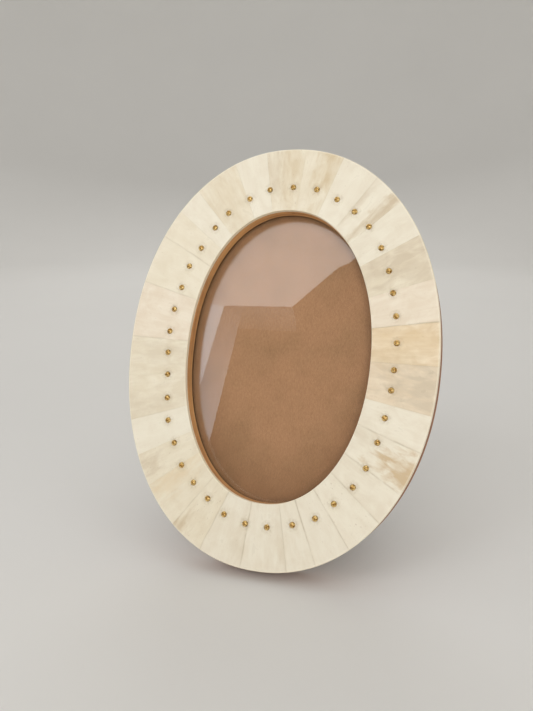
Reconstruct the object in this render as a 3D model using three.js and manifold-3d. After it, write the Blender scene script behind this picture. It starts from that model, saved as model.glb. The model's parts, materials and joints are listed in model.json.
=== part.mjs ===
// Oval picture frame faced with pinned bone pieces, leaning back on an easel strut.
// Millimetres, +Z up, front towards -Y. The origin is the bottom centre of the whole part.
//
// The frame is drawn flat first, in the face's own axes: x to the right, y up the face,
// z out of the face, with z = 0 on the bone. The whole of it is then leaned back.

import * as THREE from 'three';
import { mergeVertices } from 'three/addons/utils/BufferGeometryUtils.js';
import Module from 'manifold-3d';

const wasm = await Module();
wasm.setup();

// Oval and its lean
const FRAME_WIDTH = 153;
const FRAME_HEIGHT = 203.2;
const BORDER = 31; // from the rim to the opening
const OVAL_POWER = 2.11; // 2 is an ellipse, and more is squarer
const LEAN = 19.2; // degrees from upright
const FACETS = 72; // flat sides round an oval, an even number so that one lies at the bottom

// Clearance between pieces that touch or turn on each other
const GAP = 0.3;

// Bone face: the widths of the pieces along the rim, clockwise from the first seam
const BONE_THICKNESS = 2.4;
const BONE_WIDTHS = [
  19.5, 19.5, 17, 18.5, 22, 20, 20.5, 22.5, 17, 20.5,
  16, 18, 17.5, 14, 22.5, 22, 18, 22.5, 16, 18,
  22.5, 20.5, 28.5, 25.5, 15, 13.5, 23.5, 17, 20.5,
];
const FIRST_SEAM = 6; // along the rim from the top
const SEAM_SQUARENESS = 0.75; // 1 is square to the rim, 0 points at the centre
const EDGE_STEP = 6; // longest straight side along a curved edge

// Brass pins through the bone into the wood. They are set by hand: each has its own shift clockwise from
// even spacing on their ring, and its own inset from the rim.
const PIN_RING_INSET = 20;
const PIN_SHIFTS = [
  1, 1.5, 1.5, 1, 0, 0.5, 0.5, -0.5, -1, 0,
  1, -1, 0.5, 0.5, 1.5, 0.5, 1, 0.5, 0.5, 1.5,
  1, 1, 0.5, 0, -0.5, -0.5, 0, -0.5, 0, 0,
  -0.5, -0.5, 0, 0, 0, 1, -0.5, 1, 0.5,
];
const PIN_INSETS = [
  19.5, 19, 19.5, 19, 18.5, 18.5, 19, 19.5, 19.5, 19.5,
  20, 20, 20, 19.5, 19, 19, 20, 19.5, 20.5, 20.5,
  20.5, 20.5, 21.5, 21, 20, 20.5, 20, 21, 21.5, 21,
  20.5, 20.5, 21, 20.5, 21.5, 21, 20.5, 20.5, 19.5,
];
const PIN_HEAD_DIAMETER = 2.9;
const PIN_HEAD_HEIGHT = 1;
const PIN_HEAD_BED = 0.2; // how deep the head sits in the bone
const PIN_SHANK_DIAMETER = 1.2;
const PIN_LENGTH = 6; // below the face

// Wooden core, with the rebate that holds the glass, the card and the board
const LIP_THICKNESS = 6.6; // wood in front of the glass
const LEDGE = 5.5; // how far the lip overlaps the glass
const INSERT_PLAY = 0.4; // round the glass, card and board
const GLASS_THICKNESS = 1.6;
const CARD_THICKNESS = 0.8;
const BOARD_THICKNESS = 4;

// Turn buttons that hold the board in
const BUTTON_ANGLE = 50; // degrees from the top and from the bottom, seen from the centre
const BUTTON_SETBACK = 6; // screw to the rebate's edge
const BUTTON_OVERLAP = 8; // reach over the board
const BUTTON_WIDTH = 7;
const BUTTON_THICKNESS = 1.2;
const SCREW_SHANK_DIAMETER = 2.6;
const SCREW_HEAD_DIAMETER = 5.8;
const SCREW_HEAD_HEIGHT = 1.6;
const SCREW_SLOT_WIDTH = 0.9;
const SCREW_SLOT_DEPTH = 0.8;
const SCREW_LENGTH = 9; // in the wood

// Easel strut
const STRUT_SPREAD = 31; // degrees between the open strut and the board
const STRUT_THICKNESS = 4;
const STRUT_TOP_WIDTH = 34;
const STRUT_FOOT_WIDTH = 48;
const STRUT_CORNER = 4; // radius
const STRUT_TOP_CLEARANCE = 1.5; // from the knuckles to the strut's top edge

// Strut hinge
const HINGE_HEIGHT = 45; // pin above the oval's centre, along the face
const KNUCKLE_DIAMETER = 4;
const HINGE_PIN_DIAMETER = 1.8;
const HINGE_PIN_HEAD_DIAMETER = 3;
const HINGE_PIN_HEAD_LENGTH = 0.8;
const LEAF_WIDTH = 28;
const LEAF_HEIGHT = 20; // from the pin to the leaf's far edge
const LEAF_THICKNESS = 1;
const LEAF_CORNER = 2.5; // radius
const SIDE_KNUCKLE_LENGTH = 8;
const HEEL_HEIGHT = 5; // stop on the strut's leaf, above the pin
const HEEL_THICKNESS = 2;
const RIVET_SPREAD = 16; // between the two rivets of a leaf
const RIVET_SETBACK = 13.5; // from the pin
const RIVET_SHANK_DIAMETER = 2.2;
const RIVET_HEAD_DIAMETER = 4.8;
const RIVET_HEAD_HEIGHT = 1;

const ROUND_SIDES = 16; // sides of a screw, rivet or knuckle
const SMALL_SIDES = 8; // sides of a bone pin or a hole in the wood
const OVERCUT = 1; // how far a cutter passes the surface that it cuts
const FULL_TURN = 2 * Math.PI;

// Depths behind the face
const coreFront = -(BONE_THICKNESS + GAP);
const ledgeDepth = coreFront - LIP_THICKNESS;
const glassFront = ledgeDepth - GAP;
const cardFront = glassFront - GLASS_THICKNESS - GAP;
const boardFront = cardFront - CARD_THICKNESS - GAP;
const coreBack = boardFront - BOARD_THICKNESS;
const rebateInset = BORDER - LEDGE;
const insertInset = rebateInset + INSERT_PLAY;

const bone = { color: 0xe8dcc6, roughness: 0.45, metalness: 0 };
const wood = { color: 0x845b3f, roughness: 0.7, metalness: 0 };
const clearGlass = { color: 0xdde6e2, roughness: 0.03, metalness: 0 };
const kraftCard = { color: 0xa87d5f, roughness: 0.9, metalness: 0 };
const blackBoard = { color: 0x2a2724, roughness: 0.9, metalness: 0 };
const brassedSteel = { color: 0xb08d4c, roughness: 0.35, metalness: 1 };
const zincedSteel = { color: 0xa9abad, roughness: 0.4, metalness: 1 };

// Solids

// A closed solid of a geometry, with shared corners merged and empty triangles dropped.
function solid(geometry) {
  const bare = geometry.clone();
  bare.deleteAttribute('normal');
  bare.deleteAttribute('uv');
  const merged = mergeVertices(bare);
  const corners = merged.index.array;
  const kept = [];
  for (let i = 0; i < corners.length; i += 3) {
    const [a, b, c] = corners.slice(i, i + 3);
    if (a !== b && b !== c && c !== a) kept.push(a, b, c);
  }
  return new wasm.Manifold(new wasm.Mesh({
    numProp: 3,
    vertProperties: new Float32Array(merged.attributes.position.array),
    triVerts: new Uint32Array(kept),
  }));
}

function geometryOf(shape) {
  const mesh = shape.getMesh();
  const geometry = new THREE.BufferGeometry();
  geometry.setAttribute('position', new THREE.BufferAttribute(mesh.vertProperties, mesh.numProp));
  geometry.setIndex(new THREE.BufferAttribute(mesh.triVerts, 1));
  geometry.computeVertexNormals();
  return geometry;
}

function piece(name, shape, finish) {
  const mesh = new THREE.Mesh(geometryOf(shape), new THREE.MeshStandardMaterial(finish));
  mesh.name = name;
  return mesh;
}

// A flat outline given thickness between two depths.
function slab(shape, low, high) {
  const geometry = new THREE.ExtrudeGeometry(shape, {
    depth: high - low,
    bevelEnabled: false,
    curveSegments: 4,
  });
  geometry.translate(0, 0, low);
  return solid(geometry);
}

// A turned solid about z, from a profile of [radius, z] points that climbs from the axis back to the axis.
function turned(profile, sides) {
  const points = profile.map(([radius, z]) => new THREE.Vector2(radius, z));
  const geometry = new THREE.LatheGeometry(points, sides);
  geometry.rotateX(Math.PI / 2);
  return solid(geometry);
}

function rod(diameter, low, high, sides) {
  const radius = diameter / 2;
  return turned([[0, low], [radius, low], [radius, high], [0, high]], sides);
}

// A rod along x, centred on x = centre.
function crossRod(diameter, centre, length) {
  const geometry = new THREE.CylinderGeometry(diameter / 2, diameter / 2, length, ROUND_SIDES);
  geometry.rotateZ(Math.PI / 2);
  geometry.translate(centre, 0, 0);
  return solid(geometry);
}

function block(width, low, high) {
  const geometry = new THREE.BoxGeometry(width, high.y - low.y, high.z - low.z);
  geometry.translate(0, (low.y + high.y) / 2, (low.z + high.z) / 2);
  return solid(geometry);
}

// A closed outline through the corners, each rounded off by the radius.
function roundedOutline(corners, radius) {
  const shape = new THREE.Shape();
  corners.forEach((corner, i) => {
    const before = corners.at(i - 1);
    const after = corners[(i + 1) % corners.length];
    const enter = before.clone().sub(corner).setLength(radius).add(corner);
    const leave = after.clone().sub(corner).setLength(radius).add(corner);
    if (i === 0) shape.moveTo(enter.x, enter.y);
    else shape.lineTo(enter.x, enter.y);
    shape.quadraticCurveTo(corner.x, corner.y, leave.x, leave.y);
  });
  shape.closePath();
  return shape;
}

// The oval

// Ovals are named by their inset from the rim, and angles run clockwise from the top.
function ovalPoint(inset, angle) {
  const across = Math.abs(Math.sin(angle)) / (FRAME_WIDTH / 2 - inset);
  const along = Math.abs(Math.cos(angle)) / (FRAME_HEIGHT / 2 - inset);
  const radius = (across ** OVAL_POWER + along ** OVAL_POWER) ** (-1 / OVAL_POWER);
  return new THREE.Vector2(radius * Math.sin(angle), radius * Math.cos(angle));
}

class Oval extends THREE.Curve {
  constructor(inset) {
    super();
    this.inset = inset;
    this.arcLengthDivisions = 720;
  }

  getPoint(t) {
    return ovalPoint(this.inset, t * FULL_TURN);
  }

  // The point at a distance along the oval, clockwise from the top.
  atDistance(distance) {
    return this.getPointAt(THREE.MathUtils.euclideanModulo(distance / this.getLength(), 1));
  }
}

function angleOf(point) {
  return THREE.MathUtils.euclideanModulo(Math.atan2(point.x, point.y), FULL_TURN);
}

// The oval's flat sides, with one of them level at the bottom.
function ovalCorners(inset) {
  const oval = new Oval(inset);
  const side = oval.getLength() / FACETS;
  return Array.from({ length: FACETS }, (_, k) => oval.atDistance((k + 0.5) * side));
}

function ovalSlab(inset, low, high) {
  return slab(new THREE.Shape(ovalCorners(inset)), low, high);
}

function outwardNormal(inset, angle) {
  const step = 0.001;
  const along = ovalPoint(inset, angle + step).sub(ovalPoint(inset, angle - step)).normalize();
  return new THREE.Vector2(-along.y, along.x);
}

// Bone face

function makeSeams() {
  const rim = new Oval(0);
  const listed = BONE_WIDTHS.reduce((sum, width) => sum + width, 0);
  const stretch = rim.getLength() / listed;
  let distance = FIRST_SEAM;
  return BONE_WIDTHS.map((width) => {
    const start = rim.atDistance(distance);
    distance += width * stretch;
    const square = outwardNormal(0, angleOf(start)).negate();
    const central = start.clone().negate().normalize();
    return { start, direction: central.lerp(square, SEAM_SQUARENESS).normalize() };
  });
}

// The angle at which a seam crosses the oval of an inset, found by halving the way in.
function seamAngle(seam, inset) {
  let near = 0;
  let far = 2 * BORDER;
  for (let i = 0; i < 40; i += 1) {
    const middle = (near + far) / 2;
    const point = seam.direction.clone().multiplyScalar(middle).add(seam.start);
    if (point.length() > ovalPoint(inset, angleOf(point)).length()) near = middle;
    else far = middle;
  }
  return angleOf(seam.direction.clone().multiplyScalar(near).add(seam.start));
}

function clockwiseTurn(from, to) {
  return THREE.MathUtils.euclideanModulo(to - from, FULL_TURN);
}

// Points along one edge of a bone piece, between its two seams.
function boneEdge(inset, firstSeam, nextSeam) {
  const first = seamAngle(firstSeam, inset);
  const next = seamAngle(nextSeam, inset);
  const from = first + GAP / 2 / ovalPoint(inset, first).length();
  const to = next - GAP / 2 / ovalPoint(inset, next).length();
  const turn = clockwiseTurn(from, to);
  const steps = Math.ceil(turn * ovalPoint(inset, from).length() / EDGE_STEP);
  return Array.from({ length: steps + 1 }, (_, k) => ovalPoint(inset, from + turn * k / steps));
}

function placePins() {
  const ring = new Oval(PIN_RING_INSET);
  const pitch = ring.getLength() / PIN_SHIFTS.length;
  return PIN_SHIFTS.map((shift, k) => {
    const angle = angleOf(ring.atDistance(k * pitch + shift));
    return ovalPoint(PIN_INSETS[k], angle);
  });
}

function pinSolid(place) {
  const shank = PIN_SHANK_DIAMETER / 2;
  const head = PIN_HEAD_DIAMETER / 2;
  const shoulder = Math.SQRT1_2;
  const profile = [
    [0, -PIN_LENGTH],
    [shank, -PIN_LENGTH],
    [shank, -PIN_HEAD_BED],
    [head, -PIN_HEAD_BED],
    [head, 0],
    [head * shoulder, PIN_HEAD_HEIGHT * shoulder],
    [0, PIN_HEAD_HEIGHT],
  ];
  return turned(profile, SMALL_SIDES).translate([place.x, place.y, 0]);
}

// The room that a pin needs in the wood, and in a bone piece that it only overhangs.
function pinRoom(place) {
  const shaft = rod(PIN_SHANK_DIAMETER + 2 * GAP, -PIN_LENGTH - GAP, OVERCUT, SMALL_SIDES);
  const seat = rod(PIN_HEAD_DIAMETER + 2 * GAP, -PIN_HEAD_BED - GAP, OVERCUT, SMALL_SIDES);
  return shaft.add(seat).translate([place.x, place.y, 0]);
}

const seams = makeSeams();
const pins = placePins();

// Whether a place lies clockwise of a seam.
function isPast(place, seam) {
  return seam.direction.cross(place.clone().sub(seam.start)) >= 0;
}

// A bone piece is joined with the pins that stand on it, and cleared round those beside it.
function bonePiece(index) {
  const firstSeam = seams[index];
  const nextSeam = seams[(index + 1) % seams.length];
  const outline = [
    ...boneEdge(0, firstSeam, nextSeam),
    ...boneEdge(BORDER, firstSeam, nextSeam).reverse(),
  ];
  const own = pins.filter((place) => isPast(place, firstSeam) && !isPast(place, nextSeam));
  const others = pins.filter((place) => !own.includes(place));
  let shape = slab(new THREE.Shape(outline), -BONE_THICKNESS, 0);
  for (const place of others) shape = shape.subtract(pinRoom(place));
  for (const place of own) shape = shape.add(pinSolid(place));
  return shape;
}

// Core and what it holds

function frameCore(screwPlaces) {
  let shape = ovalSlab(0, coreBack, coreFront);
  shape = shape.subtract(ovalSlab(BORDER, coreBack - OVERCUT, coreFront + OVERCUT));
  shape = shape.subtract(ovalSlab(rebateInset, coreBack - OVERCUT, ledgeDepth));
  for (const place of pins) shape = shape.subtract(pinRoom(place));
  const holeEnd = coreBack + SCREW_LENGTH + GAP;
  const hole = rod(SCREW_SHANK_DIAMETER + 2 * GAP, coreBack - OVERCUT, holeEnd, SMALL_SIDES);
  for (const { x, y } of screwPlaces) shape = shape.subtract(hole.translate([x, y, 0]));
  return shape;
}

// Turn buttons, each pointing inwards over the board

function buttonSpots() {
  const near = THREE.MathUtils.degToRad(BUTTON_ANGLE);
  const angles = {
    top_right: near,
    bottom_right: Math.PI - near,
    bottom_left: Math.PI + near,
    top_left: FULL_TURN - near,
  };
  return Object.entries(angles).map(([side, angle]) => {
    const inwards = outwardNormal(rebateInset, angle).negate();
    const screw = ovalPoint(rebateInset, angle).addScaledVector(inwards, -BUTTON_SETBACK);
    return { side, screw, turn: Math.atan2(inwards.y, inwards.x) };
  });
}

function turnButton() {
  const radius = BUTTON_WIDTH / 2;
  const tip = BUTTON_SETBACK + BUTTON_OVERLAP - radius;
  const outline = new THREE.Shape();
  outline.absarc(0, 0, radius, Math.PI / 2, 1.5 * Math.PI);
  outline.absarc(tip, 0, radius, -Math.PI / 2, Math.PI / 2);
  const front = coreBack - GAP;
  const rear = front - BUTTON_THICKNESS;
  const hole = rod(SCREW_SHANK_DIAMETER + 2 * GAP, rear - OVERCUT, front + OVERCUT, ROUND_SIDES);
  return slab(outline, rear, front).subtract(hole);
}

function buttonScrew() {
  const seat = coreBack - BUTTON_THICKNESS - 2 * GAP;
  const top = seat - SCREW_HEAD_HEIGHT;
  const shank = SCREW_SHANK_DIAMETER / 2;
  const head = SCREW_HEAD_DIAMETER / 2;
  const profile = [
    [0, top],
    [head * Math.SQRT1_2, top],
    [head, (top + seat) / 2],
    [head, seat],
    [shank, seat],
    [shank, coreBack + SCREW_LENGTH],
    [0, coreBack + SCREW_LENGTH],
  ];
  const slotLow = new THREE.Vector3(0, -SCREW_SLOT_WIDTH / 2, top - OVERCUT);
  const slotHigh = new THREE.Vector3(0, SCREW_SLOT_WIDTH / 2, top + SCREW_SLOT_DEPTH);
  const slot = block(SCREW_HEAD_DIAMETER + OVERCUT, slotLow, slotHigh);
  return turned(profile, ROUND_SIDES).subtract(slot);
}

// Strut hinge, drawn about its pin with the strut folded flat on the board

const knuckle = KNUCKLE_DIAMETER / 2;
const hingeDepth = coreBack - GAP - knuckle;
const leafInner = knuckle - LEAF_THICKNESS;
const middleKnuckle = LEAF_WIDTH - 2 * (SIDE_KNUCKLE_LENGTH + GAP);
const sideKnuckleCentre = (LEAF_WIDTH - SIDE_KNUCKLE_LENGTH) / 2;
const rivetPlaces = { left: -RIVET_SPREAD / 2, right: RIVET_SPREAD / 2 };

// A leaf reaches up or down from the pin, past room for the other leaf's knuckles.
function hingeLeaf(upwards, ownKnuckles, otherKnuckles) {
  const half = LEAF_WIDTH / 2;
  const corners = [
    new THREE.Vector2(-half, 0),
    new THREE.Vector2(half, 0),
    new THREE.Vector2(half, upwards * LEAF_HEIGHT),
    new THREE.Vector2(-half, upwards * LEAF_HEIGHT),
  ];
  let shape = slab(roundedOutline(corners, LEAF_CORNER), leafInner, knuckle);
  for (const { centre, length } of otherKnuckles) {
    const room = crossRod(KNUCKLE_DIAMETER + 2 * GAP, centre, length + 2 * GAP);
    shape = shape.subtract(room);
  }
  for (const { centre, length } of ownKnuckles) {
    shape = shape.add(crossRod(KNUCKLE_DIAMETER, centre, length));
  }
  for (const x of Object.values(rivetPlaces)) {
    const hole = rod(RIVET_SHANK_DIAMETER + 2 * GAP, leafInner - OVERCUT, knuckle + OVERCUT, ROUND_SIDES);
    shape = shape.subtract(hole.translate([x, upwards * RIVET_SETBACK, 0]));
  }
  return shape.subtract(crossRod(HINGE_PIN_DIAMETER + 2 * GAP, 0, LEAF_WIDTH + OVERCUT));
}

const sideKnuckles = [-sideKnuckleCentre, sideKnuckleCentre].map((centre) => (
  { centre, length: SIDE_KNUCKLE_LENGTH }));
const centreKnuckles = [{ centre: 0, length: middleKnuckle }];
const spread = THREE.MathUtils.degToRad(STRUT_SPREAD);

function boardLeaf() {
  return hingeLeaf(1, sideKnuckles, centreKnuckles);
}

// The heel stops the strut: when open, its flat lies along the board's leaf.
function strutLeaf() {
  const seat = leafInner - GAP;
  const low = new THREE.Vector3(0, 0, seat - HEEL_THICKNESS);
  const high = new THREE.Vector3(0, HEEL_HEIGHT, seat);
  const bore = crossRod(HINGE_PIN_DIAMETER + 2 * GAP, 0, LEAF_WIDTH);
  const heel = block(middleKnuckle, low, high).subtract(bore);
  return hingeLeaf(-1, centreKnuckles, sideKnuckles).add(heel.rotate([-STRUT_SPREAD, 0, 0]));
}

function hingePin() {
  const end = LEAF_WIDTH / 2 + GAP;
  const pin = crossRod(HINGE_PIN_DIAMETER, 0, 2 * end);
  const headCentre = end + HINGE_PIN_HEAD_LENGTH / 2;
  return [-headCentre, headCentre].reduce(
    (shape, centre) => shape.add(crossRod(HINGE_PIN_HEAD_DIAMETER, centre, HINGE_PIN_HEAD_LENGTH)),
    pin,
  );
}

// A rivet whose domed head faces the rear, from the surface under its head to its flush front end.
function rivet(seat, front) {
  const shank = RIVET_SHANK_DIAMETER / 2;
  const head = RIVET_HEAD_DIAMETER / 2;
  const under = seat - GAP;
  const profile = [
    [0, under - RIVET_HEAD_HEIGHT],
    [head * Math.SQRT1_2, under - RIVET_HEAD_HEIGHT * Math.SQRT1_2],
    [head, under],
    [shank, under],
    [shank, front],
    [0, front],
  ];
  return turned(profile, ROUND_SIDES);
}

function boardWithHoles() {
  let shape = ovalSlab(insertInset, coreBack, boardFront);
  const hole = rod(RIVET_SHANK_DIAMETER + 2 * GAP, coreBack - OVERCUT, boardFront + OVERCUT, ROUND_SIDES);
  for (const x of Object.values(rivetPlaces)) {
    shape = shape.subtract(hole.translate([x, HINGE_HEIGHT + RIVET_SETBACK, 0]));
  }
  return shape;
}

// Strut, with its foot cut level with the surface that the rim stands on

const lean = THREE.MathUtils.degToRad(LEAN);
const rimBottom = Math.min(...ovalCorners(0).map((corner) => corner.y));
const strutFront = leafInner - GAP;
const strutRear = strutFront - STRUT_THICKNESS;

function heightAlong(y, z) {
  return y * Math.cos(lean) + z * Math.sin(lean);
}

// How far below the pin the surface lies, along the strut at a depth in its thickness.
function strutReach(z) {
  const drop = heightAlong(HINGE_HEIGHT, hingeDepth) - heightAlong(rimBottom, coreBack);
  const tilt = spread - lean;
  return (drop - z * Math.sin(tilt)) / Math.cos(tilt);
}

function easelStrut() {
  const top = -(knuckle + STRUT_TOP_CLEARANCE);
  const longest = Math.max(strutReach(strutFront), strutReach(strutRear)) + STRUT_CORNER;
  const outline = roundedOutline([
    new THREE.Vector2(-STRUT_TOP_WIDTH / 2, top),
    new THREE.Vector2(STRUT_TOP_WIDTH / 2, top),
    new THREE.Vector2(STRUT_FOOT_WIDTH / 2, -longest),
    new THREE.Vector2(-STRUT_FOOT_WIDTH / 2, -longest),
  ], STRUT_CORNER);
  const side = new THREE.Shape([
    new THREE.Vector2(-strutFront, top + OVERCUT),
    new THREE.Vector2(-strutRear, top + OVERCUT),
    new THREE.Vector2(-strutRear, -strutReach(strutRear)),
    new THREE.Vector2(-strutFront, -strutReach(strutFront)),
  ]);
  const sideGeometry = new THREE.ExtrudeGeometry(side, { depth: STRUT_FOOT_WIDTH, bevelEnabled: false });
  sideGeometry.translate(0, 0, -STRUT_FOOT_WIDTH / 2);
  sideGeometry.rotateY(Math.PI / 2);
  let shape = slab(outline, strutRear - OVERCUT, strutFront + OVERCUT).intersect(solid(sideGeometry));
  const hole = rod(RIVET_SHANK_DIAMETER + 2 * GAP, strutRear - OVERCUT, strutFront + OVERCUT, ROUND_SIDES);
  for (const x of Object.values(rivetPlaces)) {
    shape = shape.subtract(hole.translate([x, -RIVET_SETBACK, 0]));
  }
  return shape;
}

// Assembly

const face = new THREE.Group();
face.rotation.x = Math.PI / 2 - lean;

seams.forEach((_, index) => {
  const name = `bone_${String(index + 1).padStart(2, '0')}`;
  face.add(piece(name, bonePiece(index), bone));
});

const spots = buttonSpots();
face.add(piece('frame_core', frameCore(spots.map(({ screw }) => screw)), wood));
face.add(piece('glass_pane', ovalSlab(insertInset, glassFront - GLASS_THICKNESS, glassFront), clearGlass));
face.add(piece('insert_card', ovalSlab(insertInset, cardFront - CARD_THICKNESS, cardFront), kraftCard));
face.add(piece('backing_board', boardWithHoles(), blackBoard));

for (const { side, screw, turn } of spots) {
  const button = piece(`turn_button_${side}`, turnButton(), brassedSteel);
  const fixing = piece(`button_screw_${side}`, buttonScrew(), brassedSteel);
  for (const part of [button, fixing]) {
    part.position.set(screw.x, screw.y, 0);
    part.rotation.z = turn;
    face.add(part);
  }
}

const hinge = new THREE.Group();
hinge.position.set(0, HINGE_HEIGHT, hingeDepth);
hinge.add(piece('hinge_board_leaf', boardLeaf(), zincedSteel));
hinge.add(piece('hinge_pin', hingePin(), zincedSteel));
face.add(hinge);

const strut = new THREE.Group();
strut.rotation.x = spread;
strut.add(piece('easel_strut', easelStrut(), blackBoard));
strut.add(piece('hinge_strut_leaf', strutLeaf(), zincedSteel));
hinge.add(strut);

for (const [side, x] of Object.entries(rivetPlaces)) {
  const boardRivet = piece(`board_rivet_${side}`, rivet(leafInner, boardFront - hingeDepth), zincedSteel);
  boardRivet.position.set(x, RIVET_SETBACK, 0);
  hinge.add(boardRivet);
  const strutRivet = piece(`strut_rivet_${side}`, rivet(strutRear, knuckle), zincedSteel);
  strutRivet.position.set(x, -RIVET_SETBACK, 0);
  strut.add(strutRivet);
}

const frame = new THREE.Group();
frame.add(face);
frame.updateMatrixWorld(true);
const box = new THREE.Box3().setFromObject(frame, true);
const centre = box.getCenter(new THREE.Vector3());
face.position.set(-centre.x, -centre.y, -box.min.z);

export default frame;
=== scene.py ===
"""Looks of the oval picture frame: pinned bone face, wooden core, glass over a card, easel back.

Metres, +Z up, front towards -Y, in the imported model's own frame. The face has axes of its own:
x to the right, y up the face, z out of it, with z = 0 on the bone. Angles on the oval run clockwise
from the top.
"""
import json
import math
import random
from bisect import bisect_right
from itertools import accumulate
from typing import NamedTuple

import bmesh
import bpy
from mathutils import Matrix, Vector


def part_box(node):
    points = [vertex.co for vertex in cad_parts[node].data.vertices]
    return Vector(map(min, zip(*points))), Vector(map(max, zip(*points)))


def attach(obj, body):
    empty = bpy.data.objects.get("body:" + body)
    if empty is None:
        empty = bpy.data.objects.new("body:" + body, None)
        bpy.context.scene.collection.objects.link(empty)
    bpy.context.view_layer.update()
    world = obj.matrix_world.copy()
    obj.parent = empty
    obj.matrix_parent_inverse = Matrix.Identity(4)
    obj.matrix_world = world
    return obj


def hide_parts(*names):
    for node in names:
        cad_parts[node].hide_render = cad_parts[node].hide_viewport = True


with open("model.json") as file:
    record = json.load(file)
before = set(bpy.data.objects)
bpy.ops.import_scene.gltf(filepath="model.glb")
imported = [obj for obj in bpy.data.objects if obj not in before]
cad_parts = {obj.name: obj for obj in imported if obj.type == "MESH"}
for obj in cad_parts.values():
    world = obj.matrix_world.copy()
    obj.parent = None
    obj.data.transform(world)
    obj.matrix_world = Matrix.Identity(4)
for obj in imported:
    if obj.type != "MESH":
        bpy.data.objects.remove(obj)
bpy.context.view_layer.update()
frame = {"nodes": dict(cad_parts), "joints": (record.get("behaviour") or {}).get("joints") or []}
random.seed(29)

# Oval and its lean
FRAME_WIDTH = 0.153
FRAME_HEIGHT = 0.2032
BORDER = 0.031
OVAL_POWER = 2.11
LEAN = math.radians(19.2)
OVAL_STEPS = 288
ARC_STEPS = 1440
NORMAL_STEP = 0.001  # of angle, to either side of the place where a normal is taken

# Bone face, with its pieces and seams listed clockwise from the first seam
BONE_THICKNESS = 0.0024
BONE_WIDTHS = [  # along the rim, in millimetres
    19.5, 19.5, 17, 18.5, 22, 20, 20.5, 22.5, 17, 20.5,
    16, 18, 17.5, 14, 22.5, 22, 18, 22.5, 16, 18,
    22.5, 20.5, 28.5, 25.5, 15, 13.5, 23.5, 17, 20.5,
]
SEAM_GRIMES = [  # how much dirt each seam holds
    0, 0.1, 0.2, 0, 0, 0.1, 1.2, 0.6, 0, 1.3,
    1.2, 1, 1, 1.4, 0.7, 1, 0.8, 0.7, 0, 0,
    0.4, 0, 0.9, 0.8, 0.8, 0, 0.1, 0, 0,
]
FIRST_SEAM = 0.006
SEAM_SQUARENESS = 0.75
SEAM_GAP = 0.00001
SEAM_HALVINGS = 40
RIM_ROUND = 0.0007
# Painted highlight on the rounded rim: how far past the rounding it fades, its share where the rounding
# starts, and how much of that it loses over the rounding
RIM_FADE = 0.0003
RIM_HIGHLIGHT = 0.7
RIM_HIGHLIGHT_LOSS = 0.5
OPENING_ROUND = 0.0004
SEAM_ROUND = 0.00005
SEAM_STEPS = 3
GRIME_REACH = 0.0007
GRIME_HALFWAY = 0.3
BONE_ROWS = 14
BONE_COLUMNS = 9
ROUND_STEPS = 5
BONE_RELIEF = 0.00006
BONE_VARIETY = (31, 17)  # how far apart the pieces lie in their pattern, in millimetres

# Brass pins, set by hand and listed clockwise from the top
PIN_RING_INSET = 0.020
PIN_SHIFTS = [  # clockwise from even spacing on their ring, in millimetres
    1, 1.5, 1.5, 1, 0, 0.5, 0.5, -0.5, -1, 0,
    1, -1, 0.5, 0.5, 1.5, 0.5, 1, 0.5, 0.5, 1.5,
    1, 1, 0.5, 0, -0.5, -0.5, 0, -0.5, 0, 0,
    -0.5, -0.5, 0, 0, 0, 1, -0.5, 1, 0.5,
]
PIN_INSETS = [  # from the rim, in millimetres
    19.5, 19, 19.5, 19, 18.5, 18.5, 19, 19.5, 19.5, 19.5,
    20, 20, 20, 19.5, 19, 19, 20, 19.5, 20.5, 20.5,
    20.5, 20.5, 21.5, 21, 20, 20.5, 20, 21, 21.5, 21,
    20.5, 20.5, 21, 20.5, 21.5, 21, 20.5, 20.5, 19.5,
]
PIN_HEAD_RADIUS = 0.00145
PIN_HEAD_HEIGHT = 0.001
PIN_HEAD_BED = 0.0002
PIN_SHANK_RADIUS = 0.0006
PIN_LENGTH = 0.006
PIN_TILT = math.radians(5)
PIN_RELIEF = 0.00012
PIN_DIRT_REACH = 0.0036  # from the pin's middle
# Painted dark reflection on the pin's top, and painted shade at its foot
PIN_TOP_REFLECTION_HEIGHTS = (0.78, 0.96)  # between these heights, in millimetres
PIN_FOOT_SHADE_HEIGHTS = (0.32, 0)
PIN_VARIETY = (37, 23, 11)  # how far apart the pins lie in their pattern, in millimetres

# Depths behind the face, and how far the pieces behind it lie inside the rim
CORE_FRONT = -0.0027
LEDGE_DEPTH = -0.0093
GLASS_FRONT = -0.0096
GLASS_BACK = -0.0112
CARD_FRONT = -0.0115
CARD_BACK = -0.0123
BOARD_FRONT = -0.0126
CORE_BACK = -0.0166
REBATE_INSET = 0.0255
INSERT_INSET = 0.0259
CORE_EDGE_ROUND = 0.0004
CORE_REAR_ROUND = 0.0008
# Height of the painted shade along the foot of the wall, where it meets the glass, and of its fade
WALL_FOOT_SHADE = 0.0006
WALL_FOOT_SHADE_FADE = 0.0004
GLASS_EASE = 0.0003
CARD_EASE = 0.0001
PANEL_EASE = 0.0004
# Middle of the card's painted shade, which darkens the card away from here
CARD_PALE_SPOT = (0.004, 0.014)
GLASS_BENDING = 1.5
WOOD_RELIEF = 0.00005
CARD_RELIEF = 0.00004
BOARD_RELIEF = 0.00012
REAR_FACING = -0.7  # a face whose normal has less than this along z belongs to the core's back

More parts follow.
